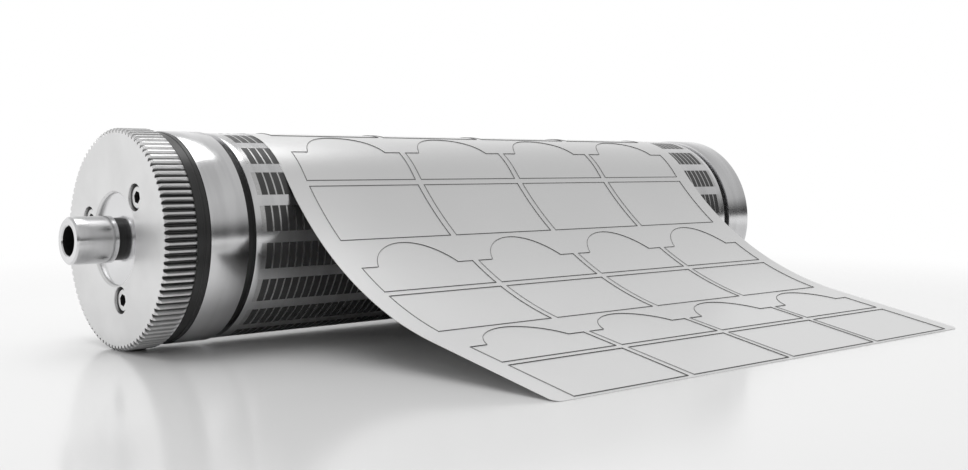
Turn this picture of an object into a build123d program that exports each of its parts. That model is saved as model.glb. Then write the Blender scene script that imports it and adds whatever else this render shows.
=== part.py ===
from build123d import *
import math
import os

# A magnetic die cylinder for rotary label cutting, with its flexible steel die laid over it.
# The axis of the cylinder is X. x = 0 is the end face of the drive journal, and +X runs to the operator's side.
# Z is up. The die leaves the cylinder towards -Y and comes down to the surface that everything rests on.
# All sizes are in millimetres, and angles are in degrees, measured from +Y towards +Z.

# Drive gear
TEETH = 96
CIRCULAR_PITCH = 3.175
PRESSURE_ANGLE = 20.0
ROOT_CLEARANCE = 0.25
GEAR_WIDTH = 15.0
TOOTH_CHAMFER = 1.2
GEAR_BORE_CHAMFER = 0.8

# Journals and the spigot that centres the gear, the same at both ends
JOURNAL_R = 10.5
JOURNAL_LENGTH = 19.2
JOURNAL_CHAMFER = 0.8
RELIEF_LENGTH = 3.6
RELIEF_DEPTH = 1.0
SPIGOT_R = 20.6
SPIGOT_RECESS = 1.4
END_BORE_R = 6.5
END_BORE_DEPTH = 32.0

# Gear fastening
SCREW_CIRCLE_R = 27.5
SCREW_COUNT = 3
SCREW_ANGLE = 16.5
SCREW_R = 3.0
SCREW_HEAD_R = 5.0
SCREW_HEAD_HEIGHT = 6.0
SCREW_REACH = 12.0
SOCKET_FLATS = 5.0
SOCKET_DEPTH = 3.0
COUNTERBORE_R = 6.0
HEAD_SETBACK = 1.2
SCREW_HOLE_R = 3.3

# Spacer ring between the gear and the drive bearer
SPACER_WIDTH = 6.5
SPACER_BELOW_BEARER = 0.3
HUB_R = 40.0

# Bearers and the grooves beside them
DRIVE_BEARER_WIDTH = 18.5
OPERATOR_BEARER_WIDTH = 19.9
BEARER_CHAMFER = 0.8
GROOVE_WIDTH = 4.1
GROOVE_DEPTH = 3.0

# Magnet zone
UNDERCUT = 0.6
END_LAND = 3.0
SLOT_LENGTH = 332.0
MAGNET_ROWS = 18
ROW_ANGLE = 8.8
ROW_SPAN = 13.9
SLOT_DEPTH = 4.0

# Operator's end
OPERATOR_SHOULDER = 6.0

# Flexible die
DIE_WIDTH = 290.0
DIE_OFFSET = 20.4
DIE_PLATE = 0.25
LINE_HEIGHT = 0.3
LINE_WIDTH = 0.6
DIE_GAP = 0.4
DIE_CORNER_R = 4.0
LEAVE_ANGLE = 142.3
FREE_BEND_R = 177.0
FREE_BEND = 40.9

# Labels on the die: a tab card and a plain label, in rows and columns
LABEL_ROWS = 4
LABEL_COLUMNS = 4
COLUMN_PITCH = 68.1
LABEL_WIDTH = 64.5
LABEL_HEIGHT = 34.4
CARD_HEIGHT = 18.6
CARD_GAP = 3.3
CARD_SHOULDER = 9.1
TAB_HEIGHT = 16.0
FRONT_MARGIN = 1.6

# Fits
FIT = 0.02
SEAT = 0.05

# Worked out from the sizes above
MODULE = CIRCULAR_PITCH / math.pi
PITCH_R = TEETH * MODULE / 2
TIP_R = PITCH_R + MODULE
ROOT_R = PITCH_R - MODULE * (1 + ROOT_CLEARANCE)
BEARER_R = PITCH_R
MAGNET_R = BEARER_R - UNDERCUT
SLOT_R = MAGNET_R - SLOT_DEPTH
GROOVE_R = MAGNET_R - GROOVE_DEPTH
RELIEF_R = JOURNAL_R - RELIEF_DEPTH

X_SPIGOT = JOURNAL_LENGTH + RELIEF_LENGTH
X_GEAR = X_SPIGOT - SPIGOT_RECESS
X_HUB = X_GEAR + GEAR_WIDTH
X_BEARER = X_HUB + SPACER_WIDTH
X_GROOVE = X_BEARER + DRIVE_BEARER_WIDTH
X_ZONE = X_GROOVE + GROOVE_WIDTH
X_SLOT = X_ZONE + END_LAND
X_ZONE_END = X_SLOT + SLOT_LENGTH + END_LAND
X_OPERATOR_BEARER = X_ZONE_END + GROOVE_WIDTH
X_BODY_END = X_OPERATOR_BEARER + OPERATOR_BEARER_WIDTH
X_OPERATOR_SHOULDER = X_BODY_END + OPERATOR_SHOULDER
X_END = X_OPERATOR_SHOULDER + X_SPIGOT

FLOOR_Z = -TIP_R
DIE_IN_R = MAGNET_R + FIT
LINE_TOP = DIE_PLATE + LINE_HEIGHT
DIE_REPEAT = 2 * math.pi * (DIE_IN_R + DIE_PLATE / 2)
DIE_LENGTH = DIE_REPEAT - DIE_GAP
X_DIE = X_ZONE + DIE_OFFSET
ROW_PITCH = DIE_REPEAT / LABEL_ROWS


def turned(points):
    """Turn a closed outline of (x, radius) points about the cylinder's axis."""
    outline = make_face(Polyline(*points, close=True))
    return revolve(outline, Axis.X, 360)


def across(x, y=0.0, z=0.0):
    """A drawing plane across the cylinder's axis: its first direction is +Y and its second +Z."""
    return Plane(origin=(x, y, z), x_dir=(0, 1, 0), z_dir=(1, 0, 0))


def along_x(radius, start, end, y=0.0, z=0.0):
    """A round bar along X between two places."""
    return extrude(across(start, y, z) * Circle(radius), end - start)


def on_circle(radius, angle):
    """The (y, z) place at an angle on a circle about the axis."""
    turn = math.radians(angle)
    return radius * math.cos(turn), radius * math.sin(turn)


def screw_places():
    """The (y, z) places of the gear's screws."""
    step = 360 / SCREW_COUNT
    return [on_circle(SCREW_CIRCLE_R, SCREW_ANGLE + step * n) for n in range(SCREW_COUNT)]


# Gear

def involute(angle):
    return math.tan(angle) - angle


def tooth_half_angle(radius):
    """Half of a tooth's thickness at a radius, as an angle in radians."""
    pressure = math.radians(PRESSURE_ANGLE)
    base_r = PITCH_R * math.cos(pressure)
    slope = math.acos(min(1.0, base_r / radius))
    return math.pi / (2 * TEETH) + involute(pressure) - involute(slope)


def tooth_ring():
    """The outline of all the teeth. With this many teeth a flank is straight to within 0.02 mm."""
    root_half = tooth_half_angle(ROOT_R)
    tip_half = tooth_half_angle(TIP_R)
    one_tooth = [(ROOT_R, -root_half), (TIP_R, -tip_half), (TIP_R, tip_half), (ROOT_R, root_half)]
    points = []
    for tooth in range(TEETH):
        centre = 2 * math.pi * tooth / TEETH
        for radius, offset in one_tooth:
            points.append((radius * math.cos(centre + offset), radius * math.sin(centre + offset)))
    return extrude(across(X_GEAR) * make_face(Polyline(*points, close=True)), GEAR_WIDTH)


def tooth_end_cut(start, end):
    """A stock that opens at 45 degrees from one face to the other, with one flat for each tooth."""
    small = TIP_R - TOOTH_CHAMFER
    profiles = [(start, small), (end, small + GEAR_WIDTH)]
    half_tooth = 180 / TEETH
    rings = [
        across(x) * RegularPolygon(flat_r, TEETH, major_radius=False, rotation=half_tooth)
        for x, flat_r in profiles
    ]
    return loft(rings, ruled=True)


def drive_gear():
    """Spur gear with chamfered tooth ends, a bore on the spigot and counterbored screw holes."""
    bore_r = SPIGOT_R + SEAT
    gear = tooth_ring() & tooth_end_cut(X_GEAR, X_HUB) & tooth_end_cut(X_HUB, X_GEAR)
    gear -= turned([
        (X_GEAR - 1, 0),
        (X_GEAR - 1, bore_r + GEAR_BORE_CHAMFER + 1),
        (X_GEAR + GEAR_BORE_CHAMFER, bore_r),
        (X_HUB + 1, bore_r),
        (X_HUB + 1, 0),
    ])
    head_seat = X_GEAR + HEAD_SETBACK + SCREW_HEAD_HEIGHT
    for y, z in screw_places():
        gear -= along_x(COUNTERBORE_R, X_GEAR - 1, head_seat, y, z)
        gear -= along_x(SCREW_HOLE_R, X_GEAR, X_HUB + 1, y, z)
    return gear


def cap_screw(y, z):
    """A socket head cap screw with a hexagon recess, its head towards the drive end."""
    head = X_GEAR + HEAD_SETBACK
    under_head = head + SCREW_HEAD_HEIGHT
    tip = X_HUB + SCREW_REACH
    screw = turned([
        (head, 0),
        (head, SCREW_HEAD_R),
        (under_head, SCREW_HEAD_R),
        (under_head, SCREW_R),
        (tip, SCREW_R),
        (tip, 0),
    ])
    hexagon = RegularPolygon(SOCKET_FLATS / 2, 6, major_radius=False)
    screw -= extrude(across(head) * hexagon, SOCKET_DEPTH)
    return Pos(0, y, z) * screw


def gear_screws():
    return Compound(children=[cap_screw(y, z) for y, z in screw_places()])


def spacer_ring():
    """The dark ring on the hub that fills the space between gear and bearer."""
    outer = BEARER_R - SPACER_BELOW_BEARER
    inner = HUB_R + FIT
    return turned([(X_HUB, inner), (X_HUB, outer), (X_BEARER, outer), (X_BEARER, inner)])


# Body

def journal_profile(end, inward):
    """Outline points of one journal from its end face to the spigot, where inward is +1 or -1 along X."""
    steps = [
        (0, 0),
        (0, JOURNAL_R - JOURNAL_CHAMFER),
        (JOURNAL_CHAMFER, JOURNAL_R),
        (JOURNAL_LENGTH, JOURNAL_R),
        (JOURNAL_LENGTH, RELIEF_R),
        (X_SPIGOT, RELIEF_R),
        (X_SPIGOT, SPIGOT_R),
    ]
    return [(end + inward * along, radius) for along, radius in steps]


def bearer_profile(start, end, outer_end):
    """Outline points of one bearer, chamfered at the end that faces out of the machine."""
    if outer_end:
        return [(start, BEARER_R), (end - BEARER_CHAMFER, BEARER_R), (end, BEARER_R - BEARER_CHAMFER)]
    return [(start, BEARER_R), (end, BEARER_R)]


def slot_blank(angle):
    """The stock that one magnet slot takes out of the body."""
    half_width = slot_half_width()
    centre = (X_SLOT + SLOT_LENGTH / 2, 0, SLOT_R + SLOT_DEPTH)
    block = Pos(*centre) * Box(SLOT_LENGTH, 2 * half_width, 2 * SLOT_DEPTH)
    return Rot(angle - 90, 0, 0) * block


def slot_half_width():
    return MAGNET_R * math.sin(math.radians(ROW_SPAN / 2))


def row_angles():
    return [ROW_ANGLE + 360 / MAGNET_ROWS * n for n in range(MAGNET_ROWS)]


def cylinder_body():
    """One turned and ground piece: journals, hub, both bearers, the grooves and the slotted magnet zone."""
    middle = [
        (X_HUB, SPIGOT_R),
        (X_HUB, HUB_R),
        (X_BEARER, HUB_R),
        *bearer_profile(X_BEARER, X_GROOVE, False),
        (X_GROOVE, GROOVE_R),
        (X_ZONE, GROOVE_R),
        (X_ZONE, MAGNET_R),
        (X_ZONE_END, MAGNET_R),
        (X_ZONE_END, GROOVE_R),
        (X_OPERATOR_BEARER, GROOVE_R),
        *bearer_profile(X_OPERATOR_BEARER, X_BODY_END, True),
        (X_BODY_END, SPIGOT_R),
    ]
    body = turned(journal_profile(0, 1) + middle + journal_profile(X_END, -1)[::-1])
    body -= along_x(END_BORE_R, -1, END_BORE_DEPTH)
    body -= along_x(END_BORE_R, X_END - END_BORE_DEPTH, X_END + 1)
    body -= [slot_blank(angle) for angle in row_angles()]
    depth = SCREW_REACH + SCREW_R
    return body - [along_x(SCREW_R + FIT, X_HUB - 1, X_HUB + depth, y, z) for y, z in screw_places()]


# Magnet rows

def magnet_row(angle):
    """The magnets and pole plates of one row, glued to one bar and ground to the cylinder's surface."""
    half = slot_half_width() - FIT
    low = SLOT_R + FIT
    shoulder = math.sqrt(MAGNET_R ** 2 - half ** 2)
    sides = Polyline((-half, shoulder), (-half, low), (half, low), (half, shoulder))
    crown = ThreePointArc((half, shoulder), (0, MAGNET_R), (-half, shoulder))
    section = across(X_SLOT + FIT) * make_face([*sides.edges(), crown])
    return Rot(angle - 90, 0, 0) * extrude(section, SLOT_LENGTH - 2 * FIT)


# Flexible die

def die_path():
    """The die's lower side seen along X, from its rear edge to its front edge on the floor.

    Each piece is (length, curvature), where a positive curvature wraps the sheet round the cylinder.
    """
    leave_slope = math.radians(LEAVE_ANGLE - 90)
    end_slope = leave_slope - math.radians(FREE_BEND)
    bend_drop = FREE_BEND_R * (math.cos(end_slope) - math.cos(leave_slope))
    left = DIE_IN_R * math.sin(math.radians(LEAVE_ANGLE)) - bend_drop - FLOOR_Z
    free = [
        (FREE_BEND_R * math.radians(FREE_BEND), -1 / FREE_BEND_R),
        (left / math.sin(end_slope), 0.0),
    ]
    wrapped = DIE_LENGTH - sum(length for length, _ in free)
    return [(wrapped, 1 / DIE_IN_R)] + free


def walk(point, heading, length, curvature):
    """Where a line or an arc ends, and its heading there in radians."""
    y, z = point
    if curvature == 0:
        return (y + length * math.cos(heading), z + length * math.sin(heading)), heading
    after = heading + length * curvature
    y += (math.sin(after) - math.sin(heading)) / curvature
    z -= (math.cos(after) - math.cos(heading)) / curvature
    return (y, z), after


def die_stations():
    """For each piece of the path: its distance from the rear edge, start point, heading, length and curvature."""
    path = die_path()
    rear_angle = math.radians(LEAVE_ANGLE) - path[0][0] / DIE_IN_R
    point = (DIE_IN_R * math.cos(rear_angle), DIE_IN_R * math.sin(rear_angle))
    heading = rear_angle + math.pi / 2
    distance = 0.0
    stations = []
    for length, curvature in path:
        stations.append((distance, point, heading, length, curvature))
        point, heading = walk(point, heading, length, curvature)
        distance += length
    return stations


STATIONS = die_stations()


def on_die(distance, height):
    """The (y, z) place at a distance from the rear edge and a height over the die's lower side."""
    for start, point, heading, length, curvature in reversed(STATIONS):
        if distance >= start:
            (y, z), along = walk(point, heading, distance - start, curvature)
            return y + height * math.sin(along), z - height * math.cos(along)
    raise ValueError("the place lies behind the rear edge")


def die_side(start, end, height):
    """The edges of one side of a strip of the die, between two distances."""
    joints = [station[0] for station in STATIONS if start < station[0] < end]
    marks = [start] + joints + [end]
    edges = []
    for low, high in zip(marks, marks[1:]):
        middle = (low + high) / 2
        ends = on_die(low, height), on_die(high - 1e-9, height)
        bend = [station[4] for station in STATIONS if station[0] <= middle][-1]
        if bend == 0:
            edges.append(Line(*ends))
        else:
            edges.append(ThreePointArc(ends[0], on_die(middle, height), ends[1]))
    return edges


def die_strip(start, end, low, high, x_from, x_to):
    """A strip of the die between two distances, two heights and two places along X."""
    under = die_side(start, end, low)
    over = die_side(start, end, high)
    sides = [Line(on_die(at, low), on_die(at, high)) for at in (start, end - 1e-9)]
    return extrude(across(x_from) * make_face([*under, *over, *sides]), x_to - x_from)


def cross_line(distance, x_from, x_to):
    """A raised cutting line that runs along X."""
    half = LINE_WIDTH / 2
    return die_strip(distance - half, distance + half, DIE_PLATE / 2, LINE_TOP, x_from - half, x_to + half)


def long_line(x, start, end):
    """A raised cutting line that runs along the sheet."""
    half = LINE_WIDTH / 2
    return die_strip(start - half, end + half, DIE_PLATE / 2, LINE_TOP, x - half, x + half)


def tab_line(x_middle, shoulder):
    """The raised round top of a tab card, bent with the sheet."""
    half_chord = LABEL_WIDTH / 2 - CARD_SHOULDER
    radius = (half_chord ** 2 + TAB_HEIGHT ** 2) / (2 * TAB_HEIGHT)
    foot = Vector(x_middle, *on_die(shoulder, DIE_PLATE))
    crown = Vector(x_middle, *on_die(shoulder - TAB_HEIGHT, DIE_PLATE))
    height = (crown - foot).length
    away = Vector(1, 0, 0).cross(crown - foot)
    plane = Plane(origin=foot, x_dir=(1, 0, 0), z_dir=away)
    ring = Pos(0, height - radius) * (Circle(radius + LINE_WIDTH / 2) - Circle(radius - LINE_WIDTH / 2))
    window = Pos(0, height) * Rectangle(LABEL_WIDTH, 2 * height)
    wall = extrude(plane * (ring & window), TAB_HEIGHT / 4, both=True)
    layer = die_strip(
        shoulder - TAB_HEIGHT - LINE_WIDTH, shoulder + LINE_WIDTH / 2, DIE_PLATE / 2, LINE_TOP,
        x_middle - LABEL_WIDTH / 2, x_middle + LABEL_WIDTH / 2)
    return wall & layer


def label_lines(x_middle, front):
    """The outline of one plain label, whose lower edge lies at a distance from the rear edge."""
    left = x_middle - LABEL_WIDTH / 2
    right = x_middle + LABEL_WIDTH / 2
    back = front - LABEL_HEIGHT
    lines = [cross_line(at, left, right) for at in (front, back)]
    lines += [long_line(x, back, front) for x in (left, right)]
    return lines


def card_lines(x_middle, front):
    """The outline of one tab card: a straight foot and sides, two shoulders and a round tab."""
    left = x_middle - LABEL_WIDTH / 2
    right = x_middle + LABEL_WIDTH / 2
    shoulder = front - CARD_HEIGHT
    lines = [cross_line(front, left, right)]
    lines += [long_line(x, shoulder, front) for x in (left, right)]
    lines.append(cross_line(shoulder, left, left + CARD_SHOULDER))
    lines.append(cross_line(shoulder, right - CARD_SHOULDER, right))
    lines.append(tab_line(x_middle, shoulder))
    return lines


def column_places():
    first = X_DIE + (DIE_WIDTH - COLUMN_PITCH * (LABEL_COLUMNS - 1)) / 2
    return [first + COLUMN_PITCH * n for n in range(LABEL_COLUMNS)]


def row_places():
    """How far the lower edge of each row of plain labels lies from the rear edge."""
    return [DIE_LENGTH - FRONT_MARGIN - ROW_PITCH * n for n in range(LABEL_ROWS)]


def flexible_die():
    """The thin sheet and its raised cutting lines, etched from one plate."""
    plate = die_strip(0, DIE_LENGTH, 0, DIE_PLATE, X_DIE, X_DIE + DIE_WIDTH)
    plate = fillet(die_corners(plate), DIE_CORNER_R)
    lines = []
    for front in row_places():
        for x_middle in column_places():
            lines += label_lines(x_middle, front)
            lines += card_lines(x_middle, front - LABEL_HEIGHT - CARD_GAP)
    return plate + lines


def die_corners(plate):
    """The four short edges through the sheet's thickness at its corners."""
    short = [edge for edge in plate.edges() if edge.length < 2 * DIE_PLATE]
    return [edge for edge in short if abs(edge.tangent_at(0.5).X) < 0.5]


def pieces():
    """Every piece of the part by its name."""
    named = {
        "cylinder_body": cylinder_body(),
        "drive_gear": drive_gear(),
        "gear_screws": gear_screws(),
        "spacer_ring": spacer_ring(),
        "flexible_die": flexible_die(),
    }
    for number, angle in enumerate(row_angles(), start=1):
        named[f"magnet_row_{number:02d}"] = magnet_row(angle)
    return named


os.makedirs("parts", exist_ok=True)
for name, shape in pieces().items():
    export_step(shape, f"parts/{name}.step")
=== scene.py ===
import math

import bmesh
import bpy
from mathutils import Matrix, Vector


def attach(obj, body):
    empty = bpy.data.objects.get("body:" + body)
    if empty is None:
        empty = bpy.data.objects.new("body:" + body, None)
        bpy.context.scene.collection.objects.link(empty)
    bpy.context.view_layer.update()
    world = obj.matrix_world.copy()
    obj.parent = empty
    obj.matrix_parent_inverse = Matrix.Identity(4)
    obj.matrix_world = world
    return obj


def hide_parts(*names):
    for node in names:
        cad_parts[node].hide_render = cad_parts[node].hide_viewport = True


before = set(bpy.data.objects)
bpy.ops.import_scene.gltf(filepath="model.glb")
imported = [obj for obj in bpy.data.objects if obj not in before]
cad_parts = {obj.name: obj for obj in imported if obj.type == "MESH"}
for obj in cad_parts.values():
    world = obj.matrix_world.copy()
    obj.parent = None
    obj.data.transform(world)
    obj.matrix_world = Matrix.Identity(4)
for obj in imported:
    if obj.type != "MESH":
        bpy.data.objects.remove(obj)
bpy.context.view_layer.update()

# A magnetic die cylinder with its flexible die. Shapes are drawn in millimetres about the cylinder's axis, which is X,
# and each finished piece is brought to metres. Angles are in degrees, from +Y towards +Z.
MM = 0.001

# Gear
TEETH = 96
CIRCULAR_PITCH = 3.175
PITCH_R = TEETH * CIRCULAR_PITCH / math.pi / 2
TIP_R = PITCH_R + CIRCULAR_PITCH / math.pi - 0.02
ROOT_R = PITCH_R - 1.25 * CIRCULAR_PITCH / math.pi
PRESSURE_ANGLE = 20.0
GEAR_FACE = 21.4
GEAR_BACK = 36.4
TOOTH_CHAMFER = 1.2
DISC_R = 45.5
GEAR_BORE_R = 20.65
BORE_CHAMFER = 0.8

# Screws
SCREW_CIRCLE_R = 27.5
SCREW_ANGLES = (16.5, 136.5, 256.5)
COUNTERBORE_R = 6.0
HEAD_FACE = 22.6
HEAD_R = 5.0
HEAD_CHAMFER = 0.45
HEAD_HEIGHT = 6.0
SHANK_R = 3.0
SHANK_END = 48.4
SHANK_HOLE_R = 3.3
SOCKET_FLATS = 5.0
SOCKET_DEPTH = 3.0

# Body
X_END = 456.3
SPIGOT_R = 20.6
HUB_R = 40.0
BEARER_R = PITCH_R
ZONE_R = BEARER_R - 0.6
GROOVE_R = ZONE_R - 3.0
SLOT_DEPTH = 4.0
SLOT_FROM = 68.5
SLOT_TO = 400.5
ROWS = 18
FIRST_ROW = 8.8
ROW_SPAN = 13.9

# Spacer ring
RING_FROM = 36.4
RING_TO = 42.9
RING_R = BEARER_R - 0.3

# Flexible die
DIE_FROM = 85.9
DIE_WIDTH = 290.0
DIE_PLATE = 0.25
LINE_HEIGHT = 0.3
LINE_WIDTH = 0.6
DIE_IN_R = ZONE_R + 0.02
FLOOR_Z = -(PITCH_R + CIRCULAR_PITCH / math.pi)
DIE_REPEAT = 2 * math.pi * (DIE_IN_R + DIE_PLATE / 2)
DIE_LENGTH = DIE_REPEAT - 0.4
LEAVE_ANGLE = 142.3
FREE_BEND_R = 177.0
FREE_BEND = 40.9
CORNER_R = 4.0
LABEL_ROWS = 4
LABEL_COLUMNS = 4
COLUMN_PITCH = 68.1
LABEL_WIDTH = 64.5
LABEL_HEIGHT = 34.4
CARD_HEIGHT = 18.6
CARD_GAP = 3.3
CARD_SHOULDER = 9.1
TAB_HEIGHT = 16.0
FRONT_MARGIN = 1.6


# Finishes

class Signal:
    """A shader socket that can be used in sums."""

    def __init__(self, finish, socket):
        self.finish = finish
        self.socket = socket

    def sum(self, operation, left, right):
        return self.finish.node("ShaderNodeMath", {"operation": operation}, {0: left, 1: right})

    def __add__(self, other):
        return self.sum("ADD", self, other)

    def __radd__(self, other):
        return self.sum("ADD", other, self)

    def __sub__(self, other):
        return self.sum("SUBTRACT", self, other)

    def __rsub__(self, other):
        return self.sum("SUBTRACT", other, self)

    def __mul__(self, other):
        return self.sum("MULTIPLY", self, other)

    def __rmul__(self, other):
        return self.sum("MULTIPLY", other, self)

    def __truediv__(self, other):
        return self.sum("DIVIDE", self, other)

    def __pow__(self, other):
        return self.sum("POWER", self, other)


class Finish:
    """One material, or the world, with its nodes."""

    def __init__(self, name, owner=None):
        self.owner = owner or bpy.data.materials.new(name)
        self.owner.use_nodes = True
        self.tree = self.owner.node_tree
        self.tree.nodes.clear()

    def node(self, kind, settings, values, output=0):
        made = self.tree.nodes.new(kind)
        for key, setting in settings.items():
            if key == "stops":
                ramp = made.color_ramp
                while len(ramp.elements) < len(setting):
                    ramp.elements.new(0.5)
                for element, (place, colour) in zip(ramp.elements, setting):
                    element.position = place
                    element.color = colour
            else:
                setattr(made, key, setting)
        for key, value in values.items():
            if isinstance(value, Signal):
                self.tree.links.new(value.socket, made.inputs[key])
            else:
                made.inputs[key].default_value = value
        return Signal(self, made.outputs[output])

    def place(self):
        """Object coordinates in metres."""
        return self.node("ShaderNodeTexCoord", {}, {}, "Object")

    def parts(self, vector):
        split = self.node("ShaderNodeSeparateXYZ", {}, {"Vector": vector}).socket.node
        return [Signal(self, socket) for socket in split.outputs]

    def vector(self, x, y, z):
        return self.node("ShaderNodeCombineXYZ", {}, {0: x, 1: y, 2: z})

    def noise(self, vector, scale, detail=2.0, roughness=0.5):
        values = {"Vector": vector, "Scale": scale, "Detail": detail, "Roughness": roughness}
        return self.node("ShaderNodeTexNoise", {}, values, "Fac")

    def ramp(self, factor, *stops):
        """Grey stops as (place, level)."""
        colours = [(place, (level, level, level, 1.0)) for place, level in stops]
        return self.node("ShaderNodeValToRGB", {"stops": colours}, {"Fac": factor})

    def between(self, value, low, high, to_low=0.0, to_high=1.0):
        """Brings a range of values smoothly to another range."""
        settings = {"interpolation_type": "SMOOTHSTEP"}
        values = {"Value": value, "From Min": low, "From Max": high, "To Min": to_low, "To Max": to_high}
        return self.node("ShaderNodeMapRange", settings, values)

    def mix(self, factor, first, second):
        """Mixes two colours."""
        made = self.tree.nodes.new("ShaderNodeMix")
        made.data_type = "RGBA"
        for index, value in ((0, factor), (6, first), (7, second)):
            if isinstance(value, Signal):
                self.tree.links.new(value.socket, made.inputs[index])
            else:
                made.inputs[index].default_value = value
        return Signal(self, made.outputs[2])

    def bump(self, height, depth, strength=1.0):
        return self.node("ShaderNodeBump", {}, {"Height": height, "Distance": depth, "Strength": strength})

    def surface(self, **values):
        shader = self.node("ShaderNodeBsdfPrincipled", {}, {})
        for name, value in values.items():
            socket = shader.socket.node.inputs[name.replace("_", " ")]
            if isinstance(value, Signal):
                self.tree.links.new(value.socket, socket)
            else:
                socket.default_value = value
        return shader

    def finish(self, shader):
        kind = "ShaderNodeOutputWorld" if isinstance(self.owner, bpy.types.World) else "ShaderNodeOutputMaterial"
        output = self.tree.nodes.new(kind)
        self.tree.links.new(shader.socket, output.inputs["Surface"])
        return self.owner


def grey(level, blue=1.0):
    return (level, level, min(1.0, level * blue), 1.0)


def ground_steel():
    """Bright steel that was ground while turning, with fine lines round the axis."""
    f = Finish("ground_steel")
    x, y, z = f.parts(f.place())
    lines = f.noise(f.vector(x * 9000.0, y * 25.0, z * 25.0), 1.0, 3.0, 0.6)
    smear = f.noise(f.vector(x * 160.0, y * 18.0, z * 18.0), 1.0, 2.0)
    colour = f.mix(f.between(smear, 0.3, 0.7), grey(0.66, 1.01), grey(0.74, 1.01))
    rough = 0.13 + 0.07 * smear + 0.05 * lines
    bump = f.bump(lines, 0.00002, 0.35)
    return f.finish(f.surface(Base_Color=colour, Metallic=1.0, Roughness=rough, Normal=bump))


def dark_steel_and_bore_shade():
    """Dark turned steel in the grooves and journal reliefs, and painted shade inside the end bores."""
    f = Finish("groove_steel_and_bore_shade")
    x, y, z = f.parts(f.place())
    lines = f.noise(f.vector(x * 6000.0, y * 20.0, z * 20.0), 1.0, 2.0)
    colour = f.mix(lines, grey(0.012), grey(0.05))
    return f.finish(f.surface(
        Base_Color=colour, Metallic=0.6, Roughness=0.3 + 0.15 * lines, Normal=f.bump(lines, 0.00004, 0.4)))


def gear_steel():
    """Satin steel: lines round the bore on the faces, and painted shade on the tooth flanks, darkest at the roots
    between the teeth.
    """
    f = Finish("gear_steel")
    x, y, z = f.parts(f.place())
    radius = (y * y + z * z) ** 0.5
    lines = f.noise(f.vector(radius * 7000.0, y * 40.0, z * 40.0), 1.0, 3.0, 0.6)
    smear = f.noise(f.vector(x * 90.0, y * 40.0, z * 40.0), 1.0, 3.0)
    bright = f.mix(f.between(smear, 0.3, 0.7), grey(0.68), grey(0.75))
    # Painted shade: behind the front face, the tooth flanks darken towards the roots, where shade falls between the
    # teeth.
    deep = f.between(radius, ROOT_R * MM, (TIP_R - 0.5) * MM, 0.12, 1.0)
    inside = f.between(x, (GEAR_FACE + 0.02) * MM, (GEAR_FACE + 0.5) * MM)
    rim = f.between(radius, (ROOT_R - 0.4) * MM, (ROOT_R - 0.1) * MM)
    shade = 1.0 - inside * rim * (1.0 - deep)
    colour = f.mix(shade, grey(0.02), bright)
    rough = 0.3 + 0.08 * smear + 0.06 * lines
    return f.finish(f.surface(
        Base_Color=colour, Metallic=1.0, Roughness=rough, Normal=f.bump(lines, 0.00002, 0.5)))


def black_ring_finish():
    f = Finish("black_ring")
    x, y, z = f.parts(f.place())
    lines = f.noise(f.vector(x * 5000.0, y * 20.0, z * 20.0), 1.0, 2.0)
    colour = f.mix(lines, grey(0.01), grey(0.03))
    return f.finish(f.surface(
        Base_Color=colour, Metallic=0.0, Roughness=0.28 + 0.1 * lines, Normal=f.bump(lines, 0.00003, 0.4)))


def magnet_finish():
    """Dark ceramic magnets, ground flush."""
    f = Finish("magnet")
    place = f.place()
    grain = f.noise(place, 2500.0, 3.0)
    cloud = f.noise(place, 90.0, 2.0)
    colour = f.mix(cloud, grey(0.035), grey(0.075))
    return f.finish(f.surface(
        Base_Color=colour, Metallic=0.3, Roughness=0.3 + 0.12 * grain, Normal=f.bump(grain, 0.00003, 0.4)))


def pole_finish():
    """The ground edges of the steel pole plates."""
    f = Finish("pole_plate")
    grain = f.noise(f.place(), 1200.0, 2.0)
    colour = f.mix(grain, grey(0.5), grey(0.66))
    return f.finish(f.surface(Base_Color=colour, Metallic=1.0, Roughness=0.2 + 0.1 * grain))


def die_steel():
    """Satin spring steel sheet with a fine rolled grain along its length."""
    f = Finish("die_steel")
    x, y, z = f.parts(f.place())
    grain = f.noise(f.vector(x * 4200.0, y * 60.0, z * 60.0), 1.0, 3.0, 0.6)
    cloud = f.noise(f.vector(x * 14.0, y * 10.0, z * 10.0), 1.0, 2.0)
    colour = f.mix(cloud, grey(0.76), grey(0.8))
    rough = 0.3 + 0.06 * grain + 0.05 * cloud
    return f.finish(f.surface(
        Base_Color=colour, Metallic=1.0, Roughness=rough, Normal=f.bump(grain, 0.00001, 0.4)))


def line_steel():
    """Dark steel over the whole of each cutting line, flanks and tops alike."""
    f = Finish("cutting_line")
    grain = f.noise(f.place(), 900.0, 2.0)
    colour = f.mix(grain, grey(0.1), grey(0.2))
    return f.finish(f.surface(Base_Color=colour, Metallic=0.8, Roughness=0.45))


def screw_steel():
    f = Finish("screw_steel")
    grain = f.noise(f.place(), 1500.0, 2.0)
    colour = f.mix(grain, grey(0.66), grey(0.75))
    return f.finish(f.surface(Base_Color=colour, Metallic=1.0, Roughness=0.24 + 0.1 * grain))


# Painted shade for the inside of the hex sockets in the bright screws.
def socket_painted_shade():
    f = Finish("socket_painted_shade")
    grain = f.noise(f.place(), 1200.0, 2.0)
    colour = f.mix(grain, grey(0.02), grey(0.06))
    return f.finish(f.surface(Base_Color=colour, Metallic=0.5, Roughness=0.45))


# Shapes

def round_the_axis(angle):
    return Matrix.Rotation(math.radians(angle), 3, "X")


def at_angle(radius, angle):
    turn = math.radians(angle)
    return radius * math.cos(turn), radius * math.sin(turn)


def weld(bm, distance=0.002):
    bmesh.ops.remove_doubles(bm, verts=bm.verts, dist=distance)
    bmesh.ops.dissolve_degenerate(bm, edges=bm.edges, dist=distance / 2)


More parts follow.
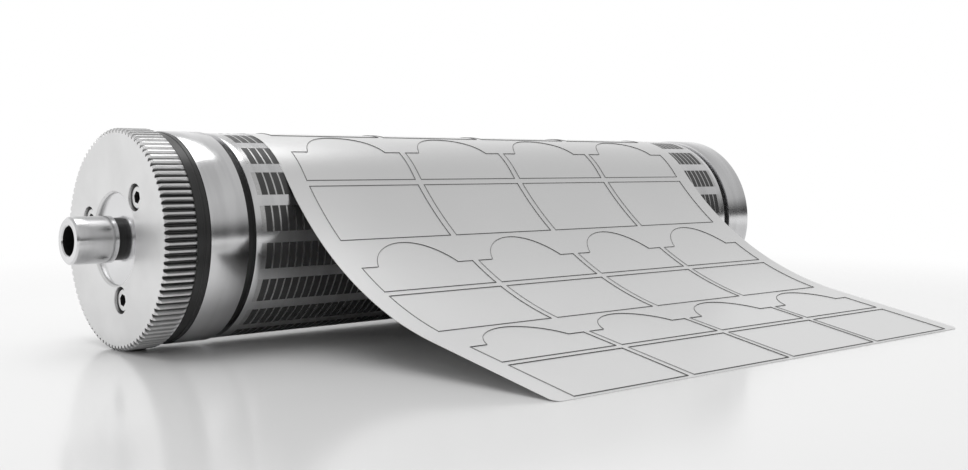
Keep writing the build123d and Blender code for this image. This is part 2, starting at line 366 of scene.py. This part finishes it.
def turned_sector(bm, outline, start, sweep, steps, wall=None):
    """Spins an outline of (x, radius) points about the axis."""
    points = [bm.verts.new((x, *at_angle(radius, start))) for x, radius in outline]
    lines = [bm.edges.new(pair) for pair in zip(points, points[1:])]
    bmesh.ops.spin(
        bm, geom=points + lines, cent=(0, 0, 0), axis=(1, 0, 0), angle=math.radians(sweep), steps=steps,
        use_merge=sweep == 360)


def ring(bm, x, radius, segments, y=0.0, z=0.0, turn=0.0):
    """A circle of edges across the axis."""
    face_on = Matrix.Translation((x, y, z)) @ Matrix.Rotation(math.radians(90), 4, "Y")
    face_on = face_on @ Matrix.Rotation(math.radians(turn), 4, "Z")
    made = bmesh.ops.create_circle(bm, segments=segments, radius=radius, matrix=face_on)
    return list({edge for vert in made["verts"] for edge in vert.link_edges})


def bridge(bm, *loops):
    for near, far in zip(loops, loops[1:]):
        bmesh.ops.bridge_loops(bm, edges=near + far)


def sheet_between(bm, *loops):
    """Fills the flat area between an outer loop and the loops inside it."""
    edges = [edge for loop in loops for edge in loop]
    return bmesh.ops.triangle_fill(bm, use_beauty=True, edges=edges)["geom"]


def break_edges(bm, rings, width, segments=2):
    """Breaks the sharp edges of a turned piece at some (x, radius) places."""
    chosen = []
    for edge in bm.edges:
        first, second = edge.verts
        if abs(first.co.x - second.co.x) > 0.01:
            continue
        radius = math.hypot(first.co.y, first.co.z)
        for x, at in rings:
            if abs(first.co.x - x) < 0.01 and abs(radius - at) < 0.01:
                chosen.append(edge)
    bmesh.ops.bevel(
        bm, geom=chosen, offset=width, offset_type="OFFSET", segments=segments, profile=0.5, affect="EDGES",
        material=-1, clamp_overlap=True)


def finished(bm, name, finishes, nodes, sharp=35.0, recalculate=True):
    """Brings a piece to metres and gives it its finishes, its body and the node it stands for."""
    if recalculate:
        bmesh.ops.recalc_face_normals(bm, faces=bm.faces)
    bmesh.ops.scale(bm, vec=(MM, MM, MM), verts=bm.verts)
    mesh = bpy.data.meshes.new(name)
    bm.to_mesh(mesh)
    bm.free()
    for finish in finishes:
        mesh.materials.append(finish)
    mesh.shade_smooth()
    mesh.set_sharp_from_angle(angle=math.radians(sharp))
    piece = bpy.data.objects.new(name, mesh)
    bpy.context.scene.collection.objects.link(piece)
    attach(piece, "root")
    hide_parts(*nodes)
    return piece


# Body

def journal(end, inward):
    """The outline from the bottom of the end bore to the spigot."""
    steps = [
        (32.0, 0.0), (32.0, 6.5), (0.5, 6.5), (0.0, 7.0), (0.0, 9.7), (0.8, 10.5), (16.0, 10.5), (16.05, 10.47),
        (19.2, 10.47), (19.2, 9.5), (22.8, 9.5), (22.8, 20.6)]
    return [(end + inward * along, radius) for along, radius in steps]


def body_outline(slotted):
    middle = [
        (36.4, SPIGOT_R), (36.4, HUB_R), (42.9, HUB_R), (42.9, BEARER_R), (61.4, BEARER_R), (61.4, GROOVE_R),
        (65.5, GROOVE_R), (65.5, ZONE_R)]
    if slotted:
        floor = ZONE_R - SLOT_DEPTH
        middle += [(SLOT_FROM, ZONE_R), (SLOT_FROM, floor), (SLOT_TO, floor), (SLOT_TO, ZONE_R)]
    else:
        middle += [(SLOT_FROM, ZONE_R), (SLOT_TO, ZONE_R)]
    middle += [
        (403.5, ZONE_R), (403.5, GROOVE_R), (407.6, GROOVE_R), (407.6, BEARER_R), (426.7, BEARER_R),
        (427.5, BEARER_R - 0.8), (427.5, SPIGOT_R)]
    return journal(0.0, 1) + middle + journal(X_END, -1)[::-1]


def turned_body():
    bm = bmesh.new()
    pitch = 360 / ROWS
    for row in range(ROWS):
        middle = FIRST_ROW + pitch * row
        turned_sector(bm, body_outline(True), middle - ROW_SPAN / 2, ROW_SPAN, 10)
        turned_sector(bm, body_outline(False), middle + ROW_SPAN / 2, pitch - ROW_SPAN, 5)
    weld(bm)
    bmesh.ops.holes_fill(bm, edges=[edge for edge in bm.edges if edge.is_boundary], sides=0)
    bmesh.ops.recalc_face_normals(bm, faces=bm.faces)
    break_edges(bm, [
        (42.9, BEARER_R), (61.4, BEARER_R), (65.5, ZONE_R), (403.5, ZONE_R), (407.6, BEARER_R),
        (22.8, SPIGOT_R), (X_END - 22.8, SPIGOT_R), (19.2, 10.47), (X_END - 19.2, 10.47)], 0.15)
    for face in bm.faces:
        middle = face.calc_center_median()
        radius = math.hypot(middle.y, middle.z)
        # Dark steel for the groove bottoms and journal reliefs, and painted shade inside the end bores.
        in_groove = radius < ZONE_R - 0.2 and (61.5 < middle.x < 65.4 or 403.6 < middle.x < 407.5)
        in_relief = radius < 10.2 and min(middle.x, X_END - middle.x) > 19.3
        in_bore = radius < 6.6
        face.material_index = int(in_groove or in_relief or in_bore)
    return finished(
        bm, "turned_body", [ground_steel(), dark_steel_and_bore_shade()], ["cylinder_body"], 25.0, False)


# Gear

def tooth_half(radius):
    """Half of a tooth's thickness at a radius, in degrees."""
    pressure = math.radians(PRESSURE_ANGLE)
    slope = math.acos(min(1.0, PITCH_R * math.cos(pressure) / radius))
    half = math.pi / (2 * TEETH) + math.tan(pressure) - pressure - math.tan(slope) + slope
    return math.degrees(half)


def one_tooth(bm):
    """A tooth and the two halves of the spaces beside it, with both ends chamfered at 45 degrees."""
    half_pitch = 180 / TEETH
    rising = [(ROOT_R, half_pitch), (ROOT_R, tooth_half(ROOT_R) + 0.22)]
    rising += [(r, tooth_half(r)) for r in (ROOT_R + 0.28, 48.0, 48.5, 49.0, TIP_R)]
    half = [(r, -a) for r, a in rising]
    outline = half + [(TIP_R, 0.0)] + [(r, a) for r, a in reversed(rising)]
    inner = [(DISC_R, half_pitch), (DISC_R, 0.0), (DISC_R, -half_pitch)]
    corners = [bm.verts.new((GEAR_FACE, *at_angle(r, a))) for r, a in outline + inner]
    front = bm.faces.new(corners)
    grown = bmesh.ops.extrude_face_region(bm, geom=[front], use_keep_orig=True)["geom"]
    moved = [item for item in grown if isinstance(item, bmesh.types.BMVert)]
    bmesh.ops.translate(bm, verts=moved, vec=(GEAR_BACK - GEAR_FACE, 0, 0))
    open_faces = []
    for face in bm.faces:
        middle = face.calc_center_median()
        angle = abs(math.degrees(math.atan2(middle.z, middle.y)))
        radius = math.hypot(middle.y, middle.z)
        if abs(face.normal.x) < 0.5 and (angle > half_pitch - 0.01 and radius < ROOT_R - 0.5 or radius < DISC_R + 0.1):
            open_faces.append(face)
    bmesh.ops.delete(bm, geom=open_faces, context="FACES_ONLY")
    start = TIP_R - TOOTH_CHAMFER
    for x, side in ((GEAR_FACE, -1), (GEAR_BACK, 1)):
        cut = bmesh.ops.bisect_plane(
            bm, geom=bm.verts[:] + bm.edges[:] + bm.faces[:], dist=0.0001, plane_co=(x, start, 0),
            plane_no=(side, 1, 0), clear_outer=True)["geom_cut"]
        rim = [item for item in cut if isinstance(item, bmesh.types.BMEdge)]
        bmesh.ops.contextual_create(bm, geom=rim)


def screw_places():
    return [at_angle(SCREW_CIRCLE_R, angle) for angle in SCREW_ANGLES]


def toothed_gear():
    bm = bmesh.new()
    one_tooth(bm)
    step = 360 / TEETH
    bmesh.ops.spin(
        bm, geom=bm.verts[:] + bm.edges[:] + bm.faces[:], cent=(0, 0, 0), axis=(1, 0, 0),
        angle=math.radians(360 - step), steps=TEETH - 1, use_duplicate=True)
    front = [ring(bm, GEAR_FACE, DISC_R, 2 * TEETH)]
    back = [ring(bm, GEAR_BACK, DISC_R, 2 * TEETH)]
    bore = [
        ring(bm, x, radius, TEETH)
        for x, radius in (
            (GEAR_FACE, GEAR_BORE_R + BORE_CHAMFER), (GEAR_FACE + BORE_CHAMFER, GEAR_BORE_R), (GEAR_BACK, GEAR_BORE_R))]
    bridge(bm, *bore)
    front.append(bore[0])
    back.append(bore[-1])
    seat = HEAD_FACE + HEAD_HEIGHT
    for y, z in screw_places():
        steps = (
            (GEAR_FACE, COUNTERBORE_R + 0.2), (GEAR_FACE + 0.2, COUNTERBORE_R), (seat, COUNTERBORE_R),
            (seat, SHANK_HOLE_R), (GEAR_BACK, SHANK_HOLE_R))
        hole = [ring(bm, x, radius, 40, y, z) for x, radius in steps]
        bridge(bm, *hole)
        front.append(hole[0])
        back.append(hole[-1])
    sheet_between(bm, *front)
    sheet_between(bm, *back)
    weld(bm)
    return finished(bm, "toothed_gear", [gear_steel()], ["drive_gear"], 28.0)


def socket_screws():
    bm = bmesh.new()
    for y, z in screw_places():
        steps = (
            (HEAD_FACE, HEAD_R - HEAD_CHAMFER), (HEAD_FACE + HEAD_CHAMFER, HEAD_R), (HEAD_FACE + HEAD_HEIGHT, HEAD_R),
            (HEAD_FACE + HEAD_HEIGHT, SHANK_R), (SHANK_END - 0.5, SHANK_R), (SHANK_END, SHANK_R - 0.5))
        side = [ring(bm, x, radius, 48, y, z) for x, radius in steps]
        bridge(bm, *side)
        corner_r = SOCKET_FLATS / 2 / math.cos(math.radians(30))
        mouth = ring(bm, HEAD_FACE, corner_r, 6, y, z, 12)
        floor = ring(bm, HEAD_FACE + SOCKET_DEPTH, corner_r, 6, y, z, 12)
        bridge(bm, mouth, floor)
        sheet_between(bm, side[0], mouth)
        bmesh.ops.contextual_create(bm, geom=floor)
        bmesh.ops.contextual_create(bm, geom=side[-1])
    weld(bm)
    bmesh.ops.recalc_face_normals(bm, faces=bm.faces)
    for face in bm.faces:
        middle = face.calc_center_median()
        reach = min(math.hypot(middle.y - y, middle.z - z) for y, z in screw_places())
        # The faces inside each hex socket take the painted shade.
        in_socket = reach < SOCKET_FLATS / 2 + 0.2 and HEAD_FACE + 0.1 < middle.x < HEAD_FACE + SOCKET_DEPTH + 0.1
        face.material_index = int(in_socket)
    return finished(
        bm, "socket_screws", [screw_steel(), socket_painted_shade()], ["gear_screws"], 30.0, False)


def dark_spacer():
    bm = bmesh.new()
    inner = HUB_R + 0.02
    outline = [
        (RING_FROM, inner), (RING_FROM, RING_R - 0.4), (RING_FROM + 0.4, RING_R), (RING_TO - 2.9, RING_R),
        (RING_TO - 2.7, RING_R - 0.25), (RING_TO - 2.1, RING_R - 0.25), (RING_TO - 1.9, RING_R),
        (RING_TO - 0.3, RING_R), (RING_TO, RING_R - 0.3), (RING_TO, inner), (RING_FROM, inner)]
    turned_sector(bm, outline, 0.0, 360, 256)
    weld(bm)
    return finished(bm, "dark_spacer", [black_ring_finish()], ["spacer_ring"], 25.0)


# Magnet rows

ROW_GAP = 0.02
CELL = 4.0
POLE = 0.8
SUNK = 0.06


def row_template():
    """One row in place at the top: ground pole plates with the magnets between them a little lower."""
    bm = bmesh.new()
    half = ZONE_R * math.sin(math.radians(ROW_SPAN / 2)) - ROW_GAP
    low = ZONE_R - SLOT_DEPTH + ROW_GAP
    crown_steps = 8
    reach = math.asin(half / ZONE_R)

    def crown(level):
        turns = [-reach + 2 * reach * n / crown_steps for n in range(crown_steps + 1)]
        return [(level * math.sin(turn), level * math.cos(turn)) for turn in turns]

    start = SLOT_FROM + ROW_GAP
    end = SLOT_TO - ROW_GAP
    section = crown(ZONE_R) + [(half, low), (-half, low)]
    corners = [bm.verts.new((start, y, z)) for y, z in section]
    face = bm.faces.new(corners)
    cells = int((end - start) // CELL)
    margin = (end - start - cells * CELL - POLE) / 2
    marks = [(start + margin, ZONE_R)]
    for cell in range(cells):
        first = start + margin + cell * CELL + POLE
        marks += [(first, ZONE_R), (first, ZONE_R - SUNK), (first + CELL - POLE, ZONE_R - SUNK), (first + CELL - POLE, ZONE_R)]
    marks += [(start + margin + cells * CELL + POLE, ZONE_R), (end, ZONE_R)]
    at = start
    level = ZONE_R
    caps = [face]
    for x, next_level in marks:
        before = set(bm.faces)
        grown = bmesh.ops.extrude_face_region(bm, geom=caps)["geom"]
        moved = [item for item in grown if isinstance(item, bmesh.types.BMVert)]
        caps = [item for item in grown if isinstance(item, bmesh.types.BMFace)]
        for vert in moved:
            if vert.co.z > low + 1:
                scale = next_level / level
                vert.co.y *= scale
                vert.co.z *= scale
            vert.co.x = x
        sunk = next_level < ZONE_R and level < ZONE_R
        for new in set(bm.faces) - before - set(caps):
            new.material_index = int(sunk)
        at, level = x, next_level
    cap = [bm.verts.new((start, y, z)) for y, z in section]
    bm.faces.new(cap)
    weld(bm, 0.0005)
    return bm


def magnet_rows():
    template = row_template()
    bmesh.ops.recalc_face_normals(template, faces=template.faces)
    finishes = [pole_finish(), magnet_finish()]
    for row in range(ROWS):
        bm = template.copy()
        angle = FIRST_ROW + 360 / ROWS * row
        bmesh.ops.rotate(bm, verts=bm.verts, cent=(0, 0, 0), matrix=round_the_axis(angle - 90))
        name = f"magnet_row_{row + 1:02d}"
        finished(bm, f"laminated_row_{row + 1:02d}", finishes, [name], 30.0, False)
    template.free()


# Flexible die

def die_path():
    """The pieces of the sheet's side view as (length, curvature), from its rear edge to its front edge."""
    leave = math.radians(LEAVE_ANGLE - 90)
    end = leave - math.radians(FREE_BEND)
    drop = FREE_BEND_R * (math.cos(end) - math.cos(leave))
    left = DIE_IN_R * math.sin(math.radians(LEAVE_ANGLE)) - drop - FLOOR_Z
    free = [(FREE_BEND_R * math.radians(FREE_BEND), -1 / FREE_BEND_R), (left / math.sin(end), 0.0)]
    wrapped = DIE_LENGTH - sum(length for length, _ in free)
    return [(wrapped, 1 / DIE_IN_R)] + free


def walk(point, heading, length, curvature):
    y, z = point
    if curvature == 0:
        return (y + length * math.cos(heading), z + length * math.sin(heading)), heading
    after = heading + length * curvature
    y += (math.sin(after) - math.sin(heading)) / curvature
    z -= (math.cos(after) - math.cos(heading)) / curvature
    return (y, z), after


def die_stations():
    path = die_path()
    rear = math.radians(LEAVE_ANGLE) - path[0][0] / DIE_IN_R
    point = (DIE_IN_R * math.cos(rear), DIE_IN_R * math.sin(rear))
    heading = rear + math.pi / 2
    distance = 0.0
    stations = []
    for length, curvature in path:
        stations.append((distance, point, heading, curvature))
        point, heading = walk(point, heading, length, curvature)
        distance += length
    return stations


STATIONS = die_stations()
BEND_STEP = 2.0


def on_die(distance, height):
    for start, point, heading, curvature in reversed(STATIONS):
        if distance >= start or start == 0:
            (y, z), along = walk(point, heading, distance - start, curvature)
            return y + height * math.sin(along), z - height * math.cos(along)


def cut_across(bm, geom_filter=None):
    """Cuts a flat layout into strips, so that it can bend."""
    distance = BEND_STEP
    while distance < DIE_LENGTH:
        bmesh.ops.bisect_plane(
            bm, geom=bm.verts[:] + bm.edges[:] + bm.faces[:], dist=0.0001, plane_co=(0, distance, 0),
            plane_no=(0, 1, 0))
        distance += BEND_STEP


def bend_layout(bm):
    """Lays a flat layout of (x, distance, height) on the die's path."""
    for vert in bm.verts:
        vert.co = (vert.co.x, *on_die(vert.co.y, vert.co.z))


def arc_points(centre, radius, start, end, count):
    points = []
    for n in range(count + 1):
        turn = math.radians(start + (end - start) * n / count)
        points.append((centre[0] + radius * math.cos(turn), centre[1] + radius * math.sin(turn)))
    return points


def plate_layout(bm):
    """The flat sheet with its rounded corners."""
    left, right = DIE_FROM, DIE_FROM + DIE_WIDTH
    r = CORNER_R
    outline = arc_points((left + r, r), r, 180, 270, 8) + arc_points((right - r, r), r, 270, 360, 8)
    outline += arc_points((right - r, DIE_LENGTH - r), r, 0, 90, 8)
    outline += arc_points((left + r, DIE_LENGTH - r), r, 90, 180, 8)
    face = bm.faces.new([bm.verts.new((x, s, 0.0)) for x, s in outline])
    grown = bmesh.ops.extrude_face_region(bm, geom=[face], use_keep_orig=True)["geom"]
    moved = [item for item in grown if isinstance(item, bmesh.types.BMVert)]
    bmesh.ops.translate(bm, verts=moved, vec=(0, 0, DIE_PLATE))


def plain_outline(x_middle, front, grow):
    left = x_middle - LABEL_WIDTH / 2 - grow
    right = x_middle + LABEL_WIDTH / 2 + grow
    back = front - LABEL_HEIGHT - grow
    return [(left, back), (right, back), (right, front + grow), (left, front + grow)]


def card_outline(x_middle, front, grow):
    left = x_middle - LABEL_WIDTH / 2 - grow
    right = x_middle + LABEL_WIDTH / 2 + grow
    shoulder = front - CARD_HEIGHT - grow
    half_chord = LABEL_WIDTH / 2 - CARD_SHOULDER
    radius = (half_chord ** 2 + TAB_HEIGHT ** 2) / (2 * TAB_HEIGHT)
    centre = front - CARD_HEIGHT - TAB_HEIGHT + radius
    radius += grow
    turn = math.degrees(math.acos((centre - shoulder) / radius))
    tab = arc_points((x_middle, centre), radius, 270 - turn, 270 + turn, 40)
    return [(left, shoulder)] + tab + [(right, shoulder), (right, front + grow), (left, front + grow)]


def cutting_line(bm, outline):
    """A closed ridge with sloping flanks that follows an outline laid flat."""
    layout = bmesh.new()
    face = layout.faces.new([layout.verts.new((x, s, 0.0)) for x, s in outline])
    if face.normal.z < 0:
        face.normal_flip()
    step = LINE_WIDTH / 3
    loops = []
    for height in (LINE_HEIGHT, 0.0, -LINE_HEIGHT):
        bmesh.ops.inset_region(layout, faces=[face], thickness=step, use_even_offset=True, use_boundary=True)
        loops.append((list(face.verts), height))
    for verts, height in ((loops[0][0], 1.0), (loops[1][0], 1.0)):
        for vert in verts:
            vert.co.z = DIE_PLATE + LINE_HEIGHT
    base = DIE_PLATE - 0.1
    for vert in layout.verts:
        if vert.co.z < DIE_PLATE:
            vert.co.z = base
    layout.faces.remove(face)
    rim = [edge for edge in layout.edges if edge.is_boundary]
    bmesh.ops.bridge_loops(layout, edges=rim)
    mesh = bpy.data.meshes.new("line")
    layout.to_mesh(mesh)
    layout.free()
    bm.from_mesh(mesh)
    bpy.data.meshes.remove(mesh)


def die_sheet():
    bm = bmesh.new()
    plate_layout(bm)
    plate_faces = len(bm.faces)
    first = DIE_FROM + (DIE_WIDTH - COLUMN_PITCH * (LABEL_COLUMNS - 1)) / 2
    row_pitch = DIE_REPEAT / LABEL_ROWS
    for row in range(LABEL_ROWS):
        front = DIE_LENGTH - FRONT_MARGIN - row_pitch * row
        for column in range(LABEL_COLUMNS):
            x_middle = first + COLUMN_PITCH * column
            cutting_line(bm, plain_outline(x_middle, front, LINE_WIDTH / 2))
            cutting_line(bm, card_outline(x_middle, front - LABEL_HEIGHT - CARD_GAP, LINE_WIDTH / 2))
    bm.faces.ensure_lookup_table()
    for index, face in enumerate(bm.faces):
        face.material_index = int(index >= plate_faces)
    cut_across(bm)
    bmesh.ops.recalc_face_normals(bm, faces=bm.faces)
    bend_layout(bm)
    return finished(bm, "die_sheet", [die_steel(), line_steel()], ["flexible_die"], 25.0)


# Surroundings

def studio_world():
    """White behind the object, grey overhead and a dark strip at eye level behind the camera, as in a studio."""
    world = bpy.data.worlds.new("studio")
    bpy.context.scene.world = world
    f = Finish("studio", world)
    x, y, z = f.parts(f.node("ShaderNodeTexCoord", {}, {}, "Generated"))
    behind = f.ramp(z, (0.0, 1.0), (0.35, 0.95), (0.8, 0.55), (1.0, 0.5))
    ahead = f.ramp(z, (0.0, 0.03), (0.1, 0.05), (0.3, 0.55), (0.6, 0.62), (1.0, 0.5))
    towards = f.between(y, -0.3, 0.15)
    level = f.mix(towards, ahead, behind)
    seen = f.node("ShaderNodeLightPath", {}, {}, "Is Camera Ray")
    colour = f.mix(seen, level, grey(1.0))
    f.finish(f.node("ShaderNodeBackground", {}, {"Color": colour, "Strength": 1.0}))


def studio_floor():
    bm = bmesh.new()
    bmesh.ops.create_grid(bm, x_segments=1, y_segments=1, size=6.0)
    bmesh.ops.translate(bm, verts=bm.verts, vec=(0, 0, FLOOR_Z * MM))
    mesh = bpy.data.meshes.new("studio_floor")
    bm.to_mesh(mesh)
    bm.free()
    floor = bpy.data.objects.new("studio_floor", mesh)
    bpy.context.scene.collection.objects.link(floor)
    f = Finish("pale_floor")
    x, y, z = f.parts(f.place())
    reach = ((x - 0.2) ** 2 + (y + 0.05) ** 2) ** 0.5
    away = f.between(reach, 0.3, 0.62)
    board = f.surface(Base_Color=grey(0.86), Metallic=0.0, Roughness=0.16)
    white = f.node("ShaderNodeEmission", {}, {"Color": grey(1.0), "Strength": 1.0})
    values = {0: away, 1: board, 2: white}
    mesh.materials.append(f.finish(f.node("ShaderNodeMixShader", {}, values)))


def lamp(name, place, aim, width, height, watts):
    light = bpy.data.lights.new(name, "AREA")
    light.shape = "RECTANGLE"
    light.size = width
    light.size_y = height
    light.energy = watts
    made = bpy.data.objects.new(name, light)
    made.location = place
    made.rotation_euler = (Vector(aim) - Vector(place)).to_track_quat("-Z", "Y").to_euler()
    bpy.context.scene.collection.objects.link(made)


def camera():
    """The photograph's viewpoint, which looks along the gear's face from the drive end."""
    right = Vector((0.75872, -0.65141, -0.00026))
    up = Vector((-0.00548, -0.00679, 0.99996))
    forward = Vector((0.65139, 0.75869, 0.00872))
    turn = Matrix((right, up, -forward)).transposed().to_4x4()
    data = bpy.data.cameras.new("photo_view")
    data.sensor_width = 36.0
    data.lens = 44.471
    data.shift_x = 0.0388
    data.shift_y = -0.0819
    made = bpy.data.objects.new("photo_view", data)
    made.matrix_world = Matrix.Translation((-0.213199, -0.500356, 0.032399)) @ turn
    bpy.context.scene.collection.objects.link(made)
    bpy.context.scene.camera = made


camera()
bpy.context.scene.view_settings.view_transform = "Standard"
studio_world()
studio_floor()
lamp("soft_box", (0.1, 0.15, 0.9), (0.2, -0.05, 0.0), 1.0, 0.6, 5.0)
turned_body()
toothed_gear()
socket_screws()
dark_spacer()
magnet_rows()
die_sheet()
